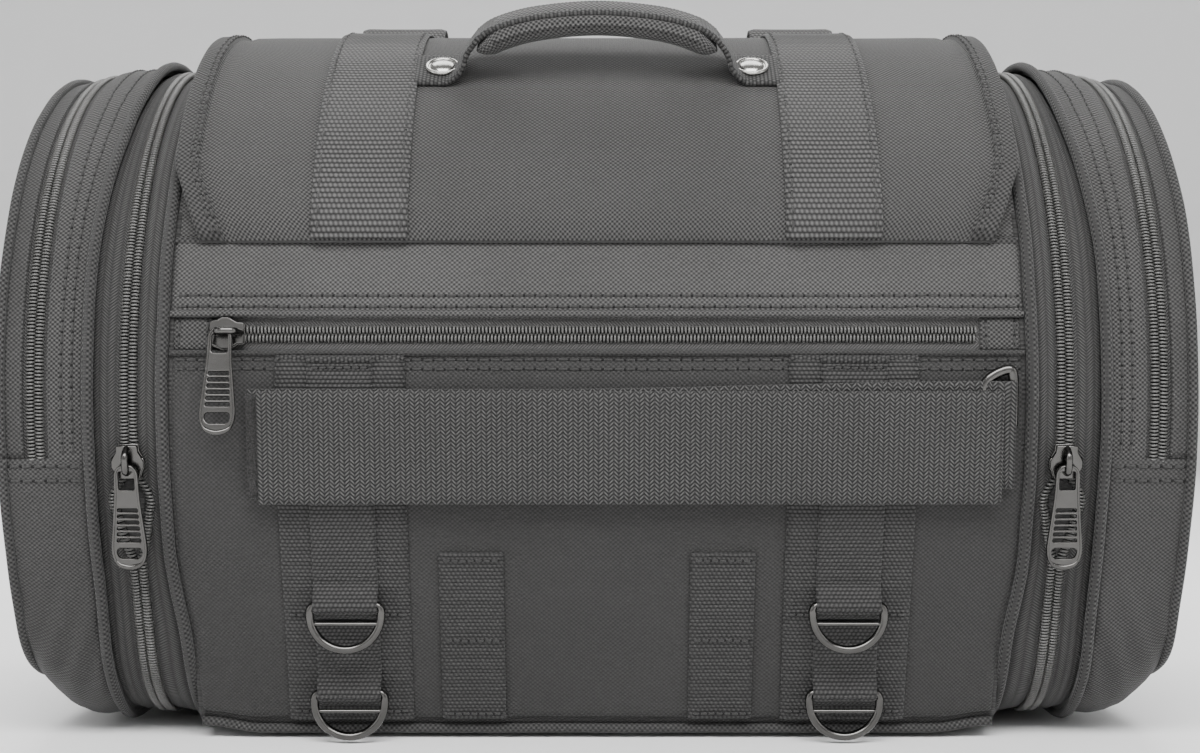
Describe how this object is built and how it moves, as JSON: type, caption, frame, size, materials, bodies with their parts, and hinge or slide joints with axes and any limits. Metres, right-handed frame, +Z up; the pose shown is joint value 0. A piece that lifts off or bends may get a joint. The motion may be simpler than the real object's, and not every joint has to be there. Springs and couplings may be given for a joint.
{
  "type": "tail bag",
  "caption": "Soft roll-shaped luggage bag with a lifting top flap, carrying handle, zipped end pockets, a flat zipped front pocket and webbing with tie-down rings.",
  "frame": {"origin": "centre of the flat base, on the surface it rests on", "axes": "+Z up, +X to the right along the roll seen from the strap side, -Y out of the strap side"},
  "size_m": [0.484, 0.3056, 0.3144],
  "materials": {
    "nylon": "coarse plain-weave ballistic nylon, matt",
    "binding": "grosgrain edge binding and piping",
    "webbing": "ribbed polyester webbing",
    "zip_tape": "herringbone zip tape",
    "zip_coil": "nylon coil, slight sheen",
    "gunmetal": "dark plated zinc, satin",
    "rivet": "bright nickel cap",
    "grip": "mesh-faced padding",
    "buckle_plastic": "acetal, fine matt",
    "board": "stiff polypropylene board"
  },
  "bodies": {
    "root": {"base_panel": "nylon", "base_piping": "binding", "base_stiffener": "board", "belt_tabs": "webbing", "buckle_anchors": "webbing", "buckle_sockets": "buckle_plastic", "expansion_gussets": "nylon", "front_facing": "nylon", "front_panel": "nylon", "front_pocket_lining": "nylon", "front_zip_chain": "zip_coil", "front_zip_end_tabs": "nylon", "front_zip_tape": "zip_tape", "inner_pipings": "binding", "lower_end_pipings": "binding", "mid_pipings": "binding", "mount_strap_rear": "webbing", "narrow_webbing": "webbing", "pocket_backs": "nylon", "pocket_gussets": "nylon", "pocket_hems": "binding", "pocket_lower_panels": "nylon", "pocket_zip_chains": "zip_coil", "pocket_zip_tapes": "zip_tape", "rear_panel": "nylon", "rim_binding": "binding", "ring_loops": "webbing", "ring_zip_chains": "zip_coil", "ring_zip_tapes": "zip_tape", "side_walls": "nylon", "wide_webbing": "webbing"},
    "flap": {"flap": "nylon", "flap_edge_binding": "binding", "flap_straps": "webbing", "cargo_loops": "webbing", "handle_tabs": "webbing", "handle_rivets": "rivet", "buckle_clips": "buckle_plastic"},
    "handle": {"handle_strap": "webbing", "handle_grip": "grip"},
    "front_slider": {"front_zip_slider": "gunmetal"},
    "front_pull": {"front_zip_pull": "gunmetal"},
    "mount_strap": {"mount_strap_tail": "webbing", "mount_strap_ring": "gunmetal"},
    "left_ring_slider": {"left_ring_zip_slider": "gunmetal"},
    "left_ring_pull": {"left_ring_zip_pull": "gunmetal"},
    "left_pocket_slider": {"left_pocket_zip_slider": "gunmetal"},
    "left_pocket_pull": {"left_pocket_zip_pull": "gunmetal"},
    "left_lid": {"left_lid_panel": "nylon", "left_lid_piping": "binding"},
    "left_upper_ring": {"left_upper_tie_ring": "gunmetal"},
    "left_lower_ring": {"left_lower_tie_ring": "gunmetal"},
    "right_ring_slider": {"right_ring_zip_slider": "gunmetal"},
    "right_ring_pull": {"right_ring_zip_pull": "gunmetal"},
    "right_pocket_slider": {"right_pocket_zip_slider": "gunmetal"},
    "right_pocket_pull": {"right_pocket_zip_pull": "gunmetal"},
    "right_lid": {"right_lid_panel": "nylon", "right_lid_piping": "binding"},
    "right_upper_ring": {"right_upper_tie_ring": "gunmetal"},
    "right_lower_ring": {"right_lower_tie_ring": "gunmetal"}
  },
  "joints": [
    {"name": "flap_hinge", "type": "hinge", "parent": "root", "child": "flap", "pos_m": [0, -0.1386, 0.2008], "axis": [1, 0, 0], "range_deg": [0, 120]},
    {"name": "handle_swing", "type": "hinge", "parent": "flap", "child": "handle", "pos_m": [0, -0.0845, 0.27452], "axis": [1, 0, 0], "range_deg": [-14, 38]},
    {"name": "front_zip_slide", "type": "slide", "parent": "root", "child": "front_slider", "axis": [1, 0, 0], "range_m": [0, 0.275]},
    {"name": "front_pull_swing", "type": "hinge", "parent": "front_slider", "child": "front_pull", "pos_m": [-0.144, -0.14787, 0.16453], "axis": [-1, 0, 0], "range_deg": [0, 120]},
    {"name": "left_ring_zip_run", "type": "hinge", "parent": "root", "child": "left_ring_slider", "pos_m": [0, 0, 0.1425], "axis": [-1, 0, 0], "range_deg": [-8, 212]},
    {"name": "left_ring_pull_swing", "type": "hinge", "parent": "left_ring_slider", "child": "left_ring_pull", "pos_m": [-0.181, -0.14467, 0.11175], "axis": [-1, 0, 0], "range_deg": [0, 120]},
    {"name": "left_pocket_zip_run", "type": "hinge", "parent": "root", "child": "left_pocket_slider", "pos_m": [0, 0, 0.1425], "axis": [1, 0, 0], "range_deg": [0, 184]},
    {"name": "left_pocket_pull_swing", "type": "hinge", "parent": "left_pocket_slider", "child": "left_pocket_pull", "pos_m": [-0.217, 0.14833, 0.12952], "axis": [1, 0, 0], "range_deg": [0, 120]},
    {"name": "left_lid_hinge", "type": "hinge", "parent": "root", "child": "left_lid", "pos_m": [-0.2422, 0, 0.1151], "axis": [0, -1, 0], "range_deg": [0, 95]},
    {"name": "left_upper_ring_swing", "type": "hinge", "parent": "root", "child": "left_upper_ring", "pos_m": [-0.099, -0.12649, 0.057], "axis": [-1, 0, 0], "range_deg": [-10, 120]},
    {"name": "left_lower_ring_swing", "type": "hinge", "parent": "root", "child": "left_lower_ring", "pos_m": [-0.099, -0.1132, 0.0205], "axis": [-1, 0, 0], "range_deg": [-10, 120]},
    {"name": "right_ring_zip_run", "type": "hinge", "parent": "root", "child": "right_ring_slider", "pos_m": [0, 0, 0.1425], "axis": [-1, 0, 0], "range_deg": [-8, 212]},
    {"name": "right_ring_pull_swing", "type": "hinge", "parent": "right_ring_slider", "child": "right_ring_pull", "pos_m": [0.181, -0.14467, 0.11175], "axis": [-1, 0, 0], "range_deg": [0, 120]},
    {"name": "right_pocket_zip_run", "type": "hinge", "parent": "root", "child": "right_pocket_slider", "pos_m": [0, 0, 0.1425], "axis": [1, 0, 0], "range_deg": [0, 184]},
    {"name": "right_pocket_pull_swing", "type": "hinge", "parent": "right_pocket_slider", "child": "right_pocket_pull", "pos_m": [0.217, 0.14833, 0.12952], "axis": [1, 0, 0], "range_deg": [0, 120]},
    {"name": "right_lid_hinge", "type": "hinge", "parent": "root", "child": "right_lid", "pos_m": [0.2422, 0, 0.1151], "axis": [0, 1, 0], "range_deg": [0, 95]},
    {"name": "right_upper_ring_swing", "type": "hinge", "parent": "root", "child": "right_upper_ring", "pos_m": [0.099, -0.12649, 0.057], "axis": [-1, 0, 0], "range_deg": [-10, 120]},
    {"name": "right_lower_ring_swing", "type": "hinge", "parent": "root", "child": "right_lower_ring", "pos_m": [0.099, -0.1132, 0.0205], "axis": [-1, 0, 0], "range_deg": [-10, 120]},
    {"name": "mount_strap_swing", "type": "hinge", "parent": "root", "child": "mount_strap", "pos_m": [0.1566, -0.1494, 0.12], "axis": [0, 0, 1], "range_deg": [0, 120]}
  ]
}
